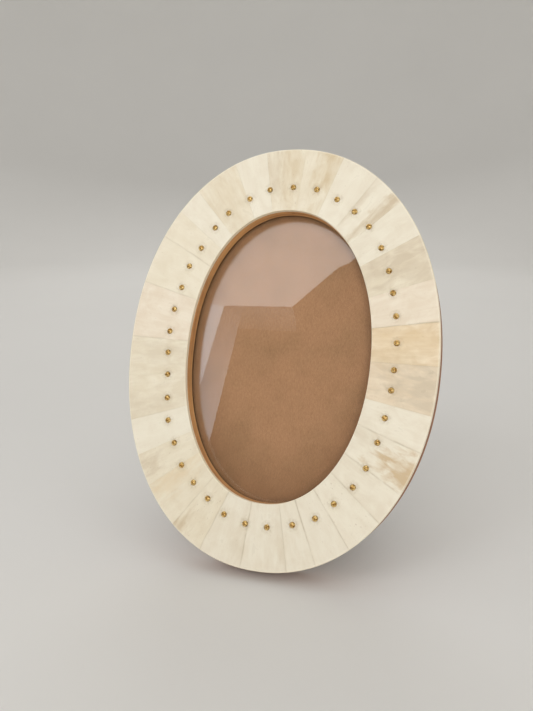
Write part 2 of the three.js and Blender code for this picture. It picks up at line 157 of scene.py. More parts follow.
# Turn buttons and their screws, measured from the core's rear face
BUTTON_REACH = 0.014
BUTTON_WIDTH = 0.007
BUTTON_FRONT = 0.0003
BUTTON_THICKNESS = 0.0012
BUTTON_BORE_RADIUS = 0.0016
BUTTON_EASE = 0.00025
BUTTON_END_STEPS = 16
SCREW_SEAT = 0.0018
SCREW_HEAD_RADIUS = 0.0029
SCREW_HEAD_FOOT_RADIUS = 0.97 * SCREW_HEAD_RADIUS
SCREW_HEAD_HEIGHT = 0.0016
SCREW_HEAD_WALL = 0.0004
SCREW_SHANK_RADIUS = 0.0013
SCREW_LENGTH = 0.009
SCREW_SLOT_WIDTH = 0.0009
SCREW_SLOT_DEPTH = 0.0008
SCREW_SLOT_REACH = 1.2 * SCREW_HEAD_RADIUS
SCREW_SLOT_EASE = 0.0001
METAL_RELIEF = 0.00001

# Strut and its hinge, with the rivets measured from the hinge pin
STRUT_SPREAD = math.radians(31)
STRUT_EASE = 0.0005
HINGE_EASE = 0.00012
RIVET_SPREAD = 0.016
RIVET_SETBACK = 0.0135
RIVET_SHANK_RADIUS = 0.0011
RIVET_HEAD_RADIUS = 0.0024
RIVET_HEAD_HEIGHT = 0.001
BOARD_RIVET_SEAT = 0.0007
BOARD_RIVET_END = 0.0063
STRUT_RIVET_SEAT = -0.0036
STRUT_RIVET_END = 0.002
# Pieces of the hinge, each with the node that it refines and its body
HINGE_PIECES = {
    "strut_leaf": ("hinge_strut_leaf", "strut"),
    "board_leaf": ("hinge_board_leaf", "frame"),
    "leaf_pin": ("hinge_pin", "frame"),
}

# Mesh detail
TURNED_SIDES = 40
DOME_STEPS = 8
EASE_STEPS = 2
SMOOTH_ANGLE = math.radians(35)
MERGE_DISTANCE = 1e-6
FLAT_ANGLE = math.radians(1)
MM = 1000  # millimetres in a metre, for tables and patterns

# Stage
COVE_FLAT = 1.6
COVE_ROUND = 0.8
COVE_HEIGHT = 2.0
COVE_SIDES = 96
COVE_STEPS = 12

# Light panels that the glass mirrors, each an outline of (x, z)
FRONT_PANEL = [
    (-1.15, 0.683), (-0.462, 0.683), (-0.305, 0.689), (-0.217, 0.794), (-0.193, 0.808), (-0.182, 0.822),
    (-0.1, 0.88), (-0.1, 1.5), (-1.15, 1.5),
]
SOFT_BAND = [(-0.418, 0.628), (-0.285, 0.628), (-0.291, 0.656), (-0.305, 0.689), (-0.417, 0.685)]
BRIGHT_STRIP = [(-0.75, 0.479), (-0.474, 0.479), (-0.463, 0.685), (-0.75, 0.685)]
DIM_STRIP = [
    (-0.75, 0.363), (-0.424, 0.363), (-0.417, 0.685), (-0.463, 0.685), (-0.474, 0.479), (-0.75, 0.479),
]
FLAG = [(-0.9, 0.02), (-0.05, 0.02), (-0.05, 1.1), (-0.9, 1.1)]
PANEL_PLACE = -1
FLAG_PLACE = -1.3
# Each panel's outline, its radiances at the foot and at the top, and its tint
PANELS = {
    "front_panel": (FRONT_PANEL, (2.3, 2.0), (0.97, 0.98, 1)),
    "bright_strip": (BRIGHT_STRIP, (3.4, 3.2), (0.84, 0.92, 1)),
    "dim_strip": (DIM_STRIP, (2.2, 0.5), (0.8, 0.9, 1)),
    "soft_band": (SOFT_BAND, (0.25, 0.55), (0.9, 0.95, 1)),
}
FLAG_RADIANCES = (0.06, 0.06)
FLAG_TINT = (1, 1, 1)

# Soft boxes, all aimed at one place: each one's centre, size, radiance and tint
LIGHT_TARGET = (0, 0, 0.1)
SOFT_BOXES = {
    "key_box": ((0.28, -1.34, 0.64), (0.9, 0.9), 2.5, (1, 0.98, 0.95)),
    "side_box": ((1.2, -0.7, 0.55), (0.8, 0.8), 0.6, (1, 0.98, 0.95)),
    "top_box": ((0.1, -0.2, 1.9), (1.6, 1.6), 0.45, (1, 0.99, 0.97)),
    "rear_box": ((-0.5, 1.5, 1.1), (1.2, 1), 1.6, (1, 1, 1)),
}
WORLD_COLOUR = (1, 0.99, 0.97, 1)
WORLD_STRENGTH = 0.5

# Camera
CAMERA_LENS = 35.44
CAMERA_SENSOR = 36
CAMERA_PLACE = (0.0929, -0.3279, 0.1731)
CAMERA_TURN = (math.radians(77.43), 0, math.radians(17.3))

# Face axes
RIGHT = Vector((1, 0, 0))
UP = Vector((0, math.sin(LEAN), math.cos(LEAN)))
OUT = Vector((0, -math.cos(LEAN), math.sin(LEAN)))
pane_low, pane_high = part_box("glass_pane")
face_centre = (pane_low + pane_high) / 2 - OUT * (GLASS_FRONT + GLASS_BACK) / 2
FACE = Matrix.Translation(face_centre) @ Matrix((RIGHT, UP, OUT)).transposed().to_4x4()
REARWARD = Matrix.Rotation(math.pi, 4, "X")


# The oval

def oval_point(inset, angle):
    """A point of the oval that lies inset from the rim."""
    across = abs(math.sin(angle)) / (FRAME_WIDTH / 2 - inset)
    along = abs(math.cos(angle)) / (FRAME_HEIGHT / 2 - inset)
    radius = (across ** OVAL_POWER + along ** OVAL_POWER) ** (-1 / OVAL_POWER)
    return Vector((radius * math.sin(angle), radius * math.cos(angle)))


def angle_of(point):
    return math.atan2(point.x, point.y) % math.tau


class Oval:
    """An oval measured along its length, clockwise from the top."""

    def __init__(self, inset):
        points = [oval_point(inset, math.tau * k / ARC_STEPS) for k in range(ARC_STEPS + 1)]
        steps = [(b - a).length for a, b in zip(points, points[1:])]
        self.reached = list(accumulate(steps, initial=0))
        self.length = self.reached[-1]

    def angle_at(self, distance):
        distance %= self.length
        k = bisect_right(self.reached, distance) - 1
        share = (distance - self.reached[k]) / (self.reached[k + 1] - self.reached[k])
        return math.tau * (k + share) / ARC_STEPS


def outward_normal(inset, angle):
    along = oval_point(inset, angle + NORMAL_STEP) - oval_point(inset, angle - NORMAL_STEP)
    return Vector((-along.y, along.x)).normalized()


# Meshes

def finish_mesh(name, made):
    """A mesh from a bmesh, with its faces pointing out and only its real edges sharp."""
    bmesh.ops.recalc_face_normals(made, faces=made.faces)
    mesh = bpy.data.meshes.new(name)
    made.to_mesh(mesh)
    made.free()
    mesh.shade_smooth()
    mesh.set_sharp_from_angle(angle=SMOOTH_ANGLE)
    return mesh


def set_marks(mesh, name, values):
    """Gives each vertex a value that the mesh's materials read."""
    mesh.attributes.new(name, "FLOAT", "POINT").data.foreach_set("value", values)


def arc(start, centre, steps=ROUND_STEPS):
    """Points a quarter turn round centre from start, clockwise with the first axis to the right."""
    offset = Vector(start) - Vector(centre)
    turned = Vector((offset.y, -offset.x))
    angles = [math.pi / 2 * k / steps for k in range(steps + 1)]
    return [Vector(centre) + offset * math.cos(a) + turned * math.sin(a) for a in angles]


def oval_mesh(name, rows, ring):
    """A solid whose section is carried round the oval: a ring, or a plate with flat ends.

    The section is a list of (inset, z).
    """
    made = bmesh.new()
    flow = made.loops.layers.uv.new("flow")
    oval = Oval(BORDER / 2)
    angles = [oval.angle_at(oval.length * k / OVAL_STEPS) for k in range(OVAL_STEPS)]
    walked = list(accumulate(((b - a).length for a, b in zip(rows, rows[1:] + rows[:1])), initial=0))
    verts = [[made.verts.new((*oval_point(inset, angle), z)) for inset, z in rows] for angle in angles]
    for k in range(OVAL_STEPS):
        here, there = verts[k], verts[(k + 1) % OVAL_STEPS]
        for i in range(len(rows) if ring else len(rows) - 1):
            j = (i + 1) % len(rows)
            face = made.faces.new((here[i], here[j], there[j], there[i]))
            steps = ((k, i), (k, i + 1), (k + 1, i + 1), (k + 1, i))
            for loop, (along, across) in zip(face.loops, steps):
                loop[flow].uv = (oval.length * along / OVAL_STEPS, walked[across])
    if not ring:
        made.faces.new([column[0] for column in verts])
        made.faces.new([column[-1] for column in verts])
    return finish_mesh(name, made)


def oval_plate(name, inset, low, high, ease):
    """A flat oval plate with eased edges."""
    below = arc((inset + ease, low), (inset + ease, low + ease))
    above = arc((inset, high - ease), (inset + ease, high - ease))
    return oval_mesh(name, below + above, ring=False)


def turned_mesh(name, profile):
    """A turned solid about z. The profile, a list of (radius, z), climbs from the axis back to the axis."""
    made = bmesh.new()
    ends = [made.verts.new((0, 0, z)) for _, z in (profile[0], profile[-1])]
    angles = [math.tau * k / TURNED_SIDES for k in range(TURNED_SIDES)]
    turns = [(math.cos(a), math.sin(a)) for a in angles]
    rings = [[made.verts.new((radius * c, radius * s, z)) for c, s in turns] for radius, z in profile[1:-1]]
    for k in range(TURNED_SIDES):
        after = (k + 1) % TURNED_SIDES
        for low, high in zip(rings, rings[1:]):
            made.faces.new((low[k], low[after], high[after], high[k]))
        made.faces.new((ends[0], rings[0][after], rings[0][k]))
        made.faces.new((ends[1], rings[-1][k], rings[-1][after]))
    return finish_mesh(name, made)


def dome(radius, base, height):
    """Profile points of a dome, from its rim to just below its top, which is on the axis."""
    rises = [math.pi / 2 * k / DOME_STEPS for k in range(DOME_STEPS)]
    return [(radius * math.cos(a), base + height * math.sin(a)) for a in rises]


def ease_edges(made, ease):
    """Rounds off every edge that is sharper than the smooth angle, and marks it as worn."""
    worn = made.faces.layers.float.new("worn")
    bmesh.ops.recalc_face_normals(made, faces=made.faces)
    sharp = [e for e in made.edges if e.is_manifold and e.calc_face_angle() > SMOOTH_ANGLE]
    eased = bmesh.ops.bevel(
        made, geom=sharp, offset=ease, segments=EASE_STEPS, profile=0.5, affect="EDGES", clamp_overlap=True)
    for face in eased["faces"]:
        face[worn] = 1


def plate_mesh(name, outline, low, high, ease):
    """A flat plate of an outline, with eased edges."""
    made = bmesh.new()
    face = made.faces.new([made.verts.new((x, y, low)) for x, y in outline])
    raised = bmesh.ops.extrude_face_region(made, geom=[face])["geom"]
    moved = [v for v in raised if isinstance(v, bmesh.types.BMVert)]
    bmesh.ops.translate(made, verts=moved, vec=(0, 0, high - low))
    ease_edges(made, ease)
    return finish_mesh(name, made)


def refined_mesh(name, source, ease):
    """A node's shape with whole flat faces and eased edges."""
    made = bmesh.new()
    made.from_mesh(frame["nodes"][source].data)
    bmesh.ops.remove_doubles(made, verts=made.verts, dist=MERGE_DISTANCE)
    bmesh.ops.dissolve_limit(made, angle_limit=FLAT_ANGLE, verts=made.verts, edges=made.edges)
    ease_edges(made, ease)
    return finish_mesh(name, made)


# Objects

def add_object(name, data):
    made = bpy.data.objects.new(name, data)
    bpy.context.scene.collection.objects.link(made)
    return made


def cut_mesh(mesh, cutter):
    """A mesh with another one cut out of it."""
    body = add_object("uncut", mesh)
    tool = add_object("cutter", cutter)
    modifier = body.modifiers.new("cut", "BOOLEAN")
    modifier.operation = "DIFFERENCE"
    modifier.solver = "EXACT"
    modifier.object = tool
    graph = bpy.context.evaluated_depsgraph_get()
    made = bpy.data.meshes.new_from_object(body.evaluated_get(graph))
    for part in (body, tool):
        bpy.data.objects.remove(part)
    made.name = mesh.name
    return made


def add_piece(name, mesh, material, body="frame", matrix=FACE, nodes=()):
    """A visible piece on a body, in place of the CAD nodes that it stands for."""
    piece = add_object(name, mesh)
    piece.matrix_world = matrix
    mesh.materials.clear()
    mesh.materials.append(material)
    piece.modifiers.new("even normals", "WEIGHTED_NORMAL").keep_sharp = True
    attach(piece, body)
    if nodes:
        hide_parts(*nodes)


# Material nodes

def srgb(red, green, blue):
    """A colour as it looks on screen, from 0 to 255, as the linear colour that shaders take."""
    shares = (v / 255 for v in (red, green, blue))
    return (*(s / 12.92 if s < 0.04045 else ((s + 0.055) / 1.055) ** 2.4 for s in shares), 1)


def new_material(name):
    """A material with its node tree and its Principled shader."""
    material = bpy.data.materials.new(name)
    material.use_nodes = True
    tree = material.node_tree
    return material, tree, tree.nodes["Principled BSDF"]


def set_input(tree, socket, value):
    """Sets an input to a value, or links it to an output."""
    if isinstance(value, bpy.types.NodeSocket):
        tree.links.new(value, socket)
    else:
        socket.default_value = value


def node(tree, kind, inputs=(), **settings):
    """A node with its inputs and settings."""
    made = tree.nodes.new(kind)
    for name, value in settings.items():
        setattr(made, name, value)
    for name, value in dict(inputs).items():
        set_input(tree, made.inputs[name], value)
    return made


def set_shader(tree, shader, **inputs):
    """Sets or links the shader's inputs, with _ for a space in their names."""
    for name, value in inputs.items():
        set_input(tree, shader.inputs[name.replace("_", " ")], value)


def set_surface(tree, shader):
    tree.links.new(shader.outputs[0], tree.nodes["Material Output"].inputs["Surface"])


def uv_place(tree, name):
    return node(tree, "ShaderNodeUVMap", uv_map=name).outputs["UV"]


def flow_place(tree):
    """The place along the ring and round its section."""
    return uv_place(tree, "flow")


def object_place(tree):
    return node(tree, "ShaderNodeTexCoord").outputs["Object"]


def object_millimetres(tree):
    return mapped(tree, object_place(tree), (MM, MM, MM))


def attribute(tree, name):
    return node(tree, "ShaderNodeAttribute", attribute_name=name).outputs["Fac"]


def mapped(tree, vector, scale, shift=(0, 0, 0)):
    inputs = {"Vector": vector, "Scale": scale, "Location": shift}
    return node(tree, "ShaderNodeMapping", inputs).outputs["Vector"]


def height_of(tree, vector):
    return node(tree, "ShaderNodeSeparateXYZ", {0: vector}).outputs["Z"]


def distance_from(tree, place, centre, reach=(1, 1)):
    """How far a place lies from a centre, with the reach along x and y as one."""
    scale = (1 / reach[0], 1 / reach[1], 0)
    shift = (-centre[0] / reach[0], -centre[1] / reach[1], 0)
    offset = mapped(tree, place, scale, shift)
    return node(tree, "ShaderNodeVectorMath", {0: offset}, operation="LENGTH").outputs["Value"]


EVEN = (1, 1, 1)
MIDDLE = (0.3, 0.7)  # the range that nearly all noise lies in


class Pattern(NamedTuple):
    """A pattern of noise."""

    axes: tuple  # how much of its scale each axis takes
    scale: float
    span: tuple = MIDDLE  # the range of its values that shows
    most: float = 1  # how much of it shows at most
    detail: float = 3
    roughness: float = 0.5
    distortion: float = 0


def noise(tree, place, pattern):
    inputs = {
        "Vector": mapped(tree, place, pattern.axes),
        "Scale": pattern.scale,
        "Detail": pattern.detail,
        "Roughness": pattern.roughness,
        "Distortion": pattern.distortion,
    }
    return node(tree, "ShaderNodeTexNoise", inputs).outputs["Fac"]


def spread(tree, value, span, to=(0, 1)):
    """A value stretched from one range to another and kept within it."""
    inputs = {"Value": value, "From Min": span[0], "From Max": span[1], "To Min": to[0], "To Max": to[1]}
    return node(tree, "ShaderNodeMapRange", inputs).outputs["Result"]


def shown(tree, value, pattern):
    """How much of a pattern shows, from its noise."""
    return spread(tree, value, pattern.span, (0, pattern.most))


def share_of(tree, place, pattern):
    """How much of a pattern shows at a place."""
    return shown(tree, noise(tree, place, pattern), pattern)


def maths(tree, operation, first, second):
    return node(tree, "ShaderNodeMath", {0: first, 1: second}, operation=operation).outputs[0]


def mix(tree, share, first, second):
    """One colour turned into another by a share."""
    inputs = {0: share, 6: first, 7: second}
    return node(tree, "ShaderNodeMix", inputs, data_type="RGBA").outputs[2]


def bump(tree, height, depth):
    return node(tree, "ShaderNodeBump", {"Height": height, "Distance": depth}).outputs["Normal"]


def scuffed(tree, colour, place, scuffs, bare):
    """A colour that is rubbed to a bare one in patches along the worn edges."""
    share = maths(tree, "MULTIPLY", attribute(tree, "worn"), share_of(tree, place, scuffs))
    return mix(tree, share, colour, bare)


# Bone

# Light and dark colours of the bone's tones
TONES = {
    "pale": (srgb(238, 230, 210), srgb(229, 218, 196)),
    "cream": (srgb(236, 226, 203), srgb(226, 213, 187)),
    "amber": (srgb(239, 221, 191), srgb(223, 199, 162)),
    "grey": (srgb(237, 229, 210), srgb(228, 217, 195)),
    "rosy": (srgb(238, 226, 205), srgb(229, 213, 189)),
    "tawny": (srgb(234, 217, 190), srgb(219, 198, 167)),
}
# Colour of each kind of stain, and how soft its edge is
STAINS = {
    "tan": (srgb(210, 188, 149), 1),
    "brown": (srgb(190, 164, 124), 1),
    "smoke": (srgb(207, 190, 163), 1),
    "gold": (srgb(222, 195, 150), 1),
    "patch": (srgb(207, 182, 144), 0.7),
}
PORE_COLOUR = srgb(160, 132, 96)
GRIME_COLOUR = srgb(172, 152, 118)
# Paler colour painted on the rounded rim as a painted highlight
RIM_HIGHLIGHT_COLOUR = srgb(250, 241, 219)
# Colour of the bone's cut sides, lighter and warmer than the face as painted light
CUT_LIT_COLOUR = srgb(254, 240, 212)
STREAKS = Pattern((1, 0.09, 1), 0.42, (0.35, 0.7), detail=4, roughness=0.55, distortion=0.8)
STREAK_RELIEF = 0.35
MOTTLES = Pattern((1, 0.6, 1), 0.17, (0.38, 0.66), 0.35, detail=5, roughness=0.6, distortion=0.5)
PORES = Pattern((1, 0.22, 1), 2.6, (0.69, 0.76), 0.25, detail=2)
PITTING_WIDENS = 0.05
PITTING_DARKENS = 0.5
STAIN_CLOUDS = Pattern((1, 0.35, 1), 0.3, (0.25, 0.75), detail=5, roughness=0.55, distortion=0.5)
STAIN_OUTLINES = (0.2, 1.8)  # how far a stain's outline wanders, in shares of its reach
STAIN_START = -0.1  # below nought, so that a stain starts outside its outline
PIN_SMEARS = Pattern((1, 0.7, 1), 0.9, (0.4, 0.66), 0.6, detail=5, roughness=0.7)
SEAM_DIRT = Pattern(EVEN, 0.12, (0.35, 0.65), 0.45)
SEAM_DIRT_LEAST = 0.02
BONE_ROUGHNESS = (0.26, 0.42)

# Each piece's tone, streaks, pores and stains
# A stain's kind, strength, centre and reach, as shares across the piece clockwise and in from the rim
BONE_LOOKS = [
    ("cream", 0.4, 0.1, [("tan", 0.85, (0.72, 0.05), (0.38, 0.9))]),
    ("pale", 0.3, 0.1, []),
    ("pale", 0.3, 0.1, [("smoke", 0.6, (0, 0.35), (0.2, 0.9)), ("brown", 0.65, (0.86, 0.3), (0.3, 0.8))]),
    ("pale", 0.4, 0.1, []),
    ("cream", 0.6, 0.2, [("smoke", 0.8, (0.3, 0.3), (0.8, 0.9))]),
    ("rosy", 0.5, 0.1, []),
    ("amber", 0.5, 0.3, [("gold", 0.5, (0.3, 0.45), (0.5, 0.6)), ("tan", 0.4, (0.95, 0.55), (0.35, 0.5))]),
    ("tawny", 0.4, 0.2, [("smoke", 0.9, (0.5, 0.15), (0.7, 0.7))]),
    ("pale", 0.5, 0.1, []),
    ("pale", 0.4, 0.2, [("patch", 1, (0.6, 0.02), (0.5, 0.6)), ("smoke", 0.4, (0.3, 0.85), (0.3, 0.25))]),
    ("pale", 0.5, 0.1, []),
    ("pale", 0.3, 0.8, []),
    ("grey", 0.3, 0.2, []),
    ("grey", 0.45, 0.1, []),
    ("grey", 0.45, 0.1, [("smoke", 0.3, (0, 0.3), (0.3, 0.9))]),
    ("grey", 0.4, 0.2, [("smoke", 0.3, (0, 0.4), (0.4, 0.9))]),
    ("cream", 0.4, 0.6, [("brown", 0.5, (0.9, 0.02), (0.4, 0.4))]),
    ("cream", 0.4, 0.2, [("gold", 0.4, (0.85, 0.4), (0.45, 0.8))]),
    ("cream", 0.4, 0.5, [("smoke", 0.7, (0.6, 0.12), (0.45, 0.35))]),
    ("pale", 0.2, 0.1, []),
    ("cream", 0.5, 0.2, [("smoke", 0.4, (0.2, 0.2), (0.6, 0.7))]),
    ("cream", 0.5, 0.2, [("smoke", 0.4, (0.6, 0.5), (0.6, 0.5))]),
    ("rosy", 0.55, 0, []),
    ("cream", 0.2, 0.1, []),
    ("cream", 0.3, 0.1, []),
    ("pale", 0.3, 0.1, []),
    ("cream", 0.5, 0.2, [("tan", 0.3, (0.5, 0.5), (0.6, 0.8))]),
    ("pale", 0.3, 0.1, []),
    ("cream", 0.3, 0.5, [("smoke", 0.5, (0.15, 0.3), (0.4, 0.6)), ("tan", 0.55, (0.7, 0.4), (0.4, 0.8))]),
]


def stained(tree, colour, grain, stain):
    """A colour with a stain over part of the piece, whose outline wanders."""
    name, strength, centre, reach = stain
    stain_colour, softness = STAINS[name]
    distance = distance_from(tree, uv_place(tree, "place"), centre, reach)
    outline = spread(tree, noise(tree, grain, STAIN_CLOUDS), STAIN_CLOUDS.span, STAIN_OUTLINES)
    depth = maths(tree, "SUBTRACT", outline, distance)
    share = spread(tree, depth, (STAIN_START, softness), (0, strength))
    return mix(tree, share, colour, stain_colour)


def soiled(tree, colour, grain, pins):
    """A colour with smears of dirt round the pins and grime along the seams."""
    smears = share_of(tree, grain, PIN_SMEARS)
    for pin in pins:
        distance = distance_from(tree, object_place(tree), pin)
        nearness = spread(tree, distance, (PIN_DIRT_REACH, PIN_HEAD_RADIUS))
        colour = mix(tree, maths(tree, "MULTIPLY", nearness, smears), colour, GRIME_COLOUR)
    dirt = spread(tree, noise(tree, grain, SEAM_DIRT), SEAM_DIRT.span, (SEAM_DIRT_LEAST, SEAM_DIRT.most))
    return mix(tree, maths(tree, "MULTIPLY", attribute(tree, "seam"), dirt), colour, GRIME_COLOUR)


def bone_material(number, look, pins):
    """Polished bone: streaks along the piece, soft mottles, pores, stains of its own and dirt."""
    tone, streaking, pitting, stains = look
    material, tree, shader = new_material(f"bone_{number:02d}_{tone}")
    shift = (BONE_VARIETY[0] * number, BONE_VARIETY[1] * number, 0)
    grain = mapped(tree, uv_place(tree, "grain"), (MM, MM, 1), shift)
    streaks = noise(tree, grain, STREAKS)
    mottles = noise(tree, grain, MOTTLES)
    shade = maths(tree, "ADD", spread(tree, streaks, STREAKS.span, (0, streaking)),
                  spread(tree, mottles, MOTTLES.span, (0, MOTTLES.most + streaking)))
    colour = mix(tree, shade, *TONES[tone])
    for stain in stains:
        colour = stained(tree, colour, grain, stain)
    pore_start, pore_full = PORES.span
    pit_span = (pore_start - PITTING_WIDENS * pitting, pore_full)
    pits = spread(tree, noise(tree, grain, PORES), pit_span, (0, PORES.most + PITTING_DARKENS * pitting))
    colour = mix(tree, pits, colour, PORE_COLOUR)
    colour = soiled(tree, colour, grain, pins)
    # Painted highlight along the rounded rim
    colour = mix(tree, attribute(tree, "rim"), colour, RIM_HIGHLIGHT_COLOUR)
    # Painted light on the bone's cut sides
    colour = mix(tree, attribute(tree, "cut"), colour, CUT_LIT_COLOUR)
    relief = maths(tree, "SUBTRACT", maths(tree, "MULTIPLY", streaks, STREAK_RELIEF), pits)
    set_shader(tree, shader, Base_Color=colour, Roughness=spread(tree, mottles, MIDDLE, BONE_ROUGHNESS),
               Normal=bump(tree, relief, BONE_RELIEF))
    return material


def pin_places():
    """The middle of each pin on the face."""
    ring = Oval(PIN_RING_INSET)
    pitch = ring.length / len(PIN_SHIFTS)
    pins = enumerate(zip(PIN_SHIFTS, PIN_INSETS))
    return [oval_point(inset / MM, ring.angle_at(k * pitch + shift / MM)) for k, (shift, inset) in pins]


class Seam(NamedTuple):
    """Where a seam starts on the rim, the way that it runs inwards, and its grime."""

    start: Vector
    way: Vector
    grime: float


def make_seams():
    rim = Oval(0)
    widths = [width / MM for width in BONE_WIDTHS]
    stretch = rim.length / sum(widths)
    distance = FIRST_SEAM
    seams = []
    for width, grime in zip(widths, SEAM_GRIMES):
        angle = rim.angle_at(distance)
        start = oval_point(0, angle)
        square = -outward_normal(0, angle)
        way = (-start.normalized()).lerp(square, SEAM_SQUARENESS).normalized()
        seams.append(Seam(start, way, grime))
        distance += width * stretch
    return seams


def seam_angle(seam, inset):
    """The angle at which a seam crosses the oval of an inset, found by halving the way in."""
    near, far = 0, 2 * BORDER
    for _ in range(SEAM_HALVINGS):
        middle = (near + far) / 2
        point = seam.start + seam.way * middle
        if point.length > oval_point(inset, angle_of(point)).length:
            near = middle
        else:
            far = middle
    return angle_of(seam.start + seam.way * near)


def bone_section():
    """The piece's section from its outer foot over the face to its inner foot: (inset, z, rim, cut)."""
    foot = -BONE_THICKNESS
    rim = arc((0, -RIM_ROUND), (RIM_ROUND, -RIM_ROUND))
    lip_inset = BORDER - OPENING_ROUND
    lip = arc((lip_inset, 0), (lip_inset, -OPENING_ROUND))
    plain = RIM_ROUND + RIM_FADE
    step = (lip_inset - plain) / BONE_ROWS
    # Each row carries its share of painted highlight on the rim and of painted light on the cut sides
    highlight_step = RIM_HIGHLIGHT * RIM_HIGHLIGHT_LOSS / ROUND_STEPS
    rows = [(0, foot, 0, 1)]
    rows += [(inset, z, RIM_HIGHLIGHT - highlight_step * k, 0) for k, (inset, z) in enumerate(rim)]
    rows += [(plain + step * k, 0, 0, 0) for k in range(BONE_ROWS)]
    rows += [(inset, z, 0, k / ROUND_STEPS) for k, (inset, z) in enumerate(lip)]
    return rows + [(BORDER, foot, 0, 1)]


def bone_columns(width, first_grime, next_grime):
    """The columns across a row of a piece: their share of its width, their drop and their grime."""
    reach = GRIME_REACH / width
    rounds = arc((0, -SEAM_ROUND), (SEAM_ROUND, -SEAM_ROUND), steps=SEAM_STEPS)
    side = [(offset / width, -z, 1) for offset, z in rounds]
    side += [(reach / 2, 0, GRIME_HALFWAY), (reach, 0, 0)]
    columns = [(share, drop, first_grime * grime) for share, drop, grime in side]
    columns += [(reach + (1 - 2 * reach) * k / BONE_COLUMNS, 0, 0) for k in range(1, BONE_COLUMNS)]
    return columns + [(1 - share, drop, next_grime * grime) for share, drop, grime in reversed(side)]


def bone_row(first_seam, next_seam, inset, z, rim, cut):
    """A row of a piece's points, with their marks and their places for grain and stains."""
    first, last = seam_angle(first_seam, inset), seam_angle(next_seam, inset)
    first += SEAM_GAP / 2 / oval_point(inset, first).length
    last -= SEAM_GAP / 2 / oval_point(inset, last).length
    turn = (last - first) % math.tau
    width = turn * oval_point(inset, first + turn / 2).length
    row = []
    for share, drop, grime in bone_columns(width, first_seam.grime, next_seam.grime):
        row.append({
            "point": (*oval_point(inset, first + turn * share), max(z - drop, -BONE_THICKNESS)),
            "rim": rim,
            "cut": cut,
            "seam": grime,
            "grain": ((share - 0.5) * width, inset - z),
            "place": (share, inset / BORDER),
        })
    return row


def bone_mesh(name, first_seam, next_seam):
    """A bone piece between two seams, with its rim, opening and seams rounded off."""
    rows = [bone_row(first_seam, next_seam, *row) for row in bone_section()]
    points = [point for row in rows for point in row]
    wide = len(rows[0])
    faces = []
    for i in range(len(rows)):
        low, high = i * wide, (i + 1) % len(rows) * wide
        faces += [(low + j, low + j + 1, high + j + 1, high + j) for j in range(wide - 1)]
    faces += [range(0, len(points), wide), range(wide - 1, len(points), wide)]
    raw = bpy.data.meshes.new(name)
    raw.from_pydata([point["point"] for point in points], [], faces)
    for mark in ("rim", "cut", "seam"):
        set_marks(raw, mark, [point[mark] for point in points])
    for layer in ("grain", "place"):
        uv = raw.uv_layers.new(name=layer)
        for loop in raw.loops:
            uv.data[loop.index].uv = points[loop.vertex_index][layer]
    made = bmesh.new()
    made.from_mesh(raw)
    bpy.data.meshes.remove(raw)
    return finish_mesh(name, made)


def pins_between(pins, first_seam, next_seam):
    """The pins whose dirt reaches the piece between two seams."""
    margin = PIN_DIRT_REACH / (FRAME_WIDTH / 2 - PIN_RING_INSET)
    first = seam_angle(first_seam, PIN_RING_INSET) - margin
    last = seam_angle(next_seam, PIN_RING_INSET) + margin
    return [pin for pin in pins if (angle_of(pin) - first) % math.tau < (last - first) % math.tau]


def make_bone_face():
    seams = make_seams()
    pins = pin_places()
    for index, look in enumerate(BONE_LOOKS):
        number = index + 1
        name = f"bone_piece_{number:02d}"
        ends = seams[index], seams[number % len(seams)]
        material = bone_material(number, look, pins_between(pins, *ends))
        add_piece(name, bone_mesh(name, *ends), material, nodes=[f"bone_{number:02d}"])


# Metals

# Bright and dull colours, the range of the roughness, and the scratches along x
STEEL = ((srgb(204, 206, 207), srgb(182, 184, 187)), (0.28, 0.42), Pattern((0.06, 1, 1), 3.0, detail=2))
BRASS = ((srgb(214, 172, 96), srgb(192, 148, 78)), (0.3, 0.42), Pattern((0.1, 1, 1), 3.0, detail=2))
METAL_PATCHES = Pattern(EVEN, 0.16, (0.4, 0.72), detail=5, roughness=0.6)
METAL_UNEVENNESS = (0.7, 1.3)
PIN_BRIGHT = srgb(252, 220, 150)
PIN_DULL = srgb(146, 106, 48)
# Painted dark reflection on the pins' tops, and painted shade at their feet
PIN_TOP_REFLECTION = srgb(158, 118, 62)
PIN_FOOT_SHADE = srgb(78, 54, 22)
PIN_PATCHES = Pattern(EVEN, 1.1, (0.44, 0.6), detail=4, roughness=0.6)
PIN_TOP_REFLECTION_SHARES = (0, 0.9)
PIN_ROUGHNESS = (0.16, 0.34)


def metal_material(name, colours, roughness, scratching):
    """A metal with fine scratches, and patches where it has dulled away from its worn edges."""
    material, tree, shader = new_material(name)
    place = object_millimetres(tree)
    patches = noise(tree, place, METAL_PATCHES)
    scratches = noise(tree, place, scratching)
    dulled = maths(tree, "SUBTRACT", shown(tree, patches, METAL_PATCHES), attribute(tree, "worn"))
    uneven = maths(tree, "ADD", patches, scratches)
    set_shader(tree, shader, Base_Color=mix(tree, dulled, *colours), Metallic=1,
               Roughness=spread(tree, uneven, METAL_UNEVENNESS, roughness),
               Normal=bump(tree, scratches, METAL_RELIEF))
    return material


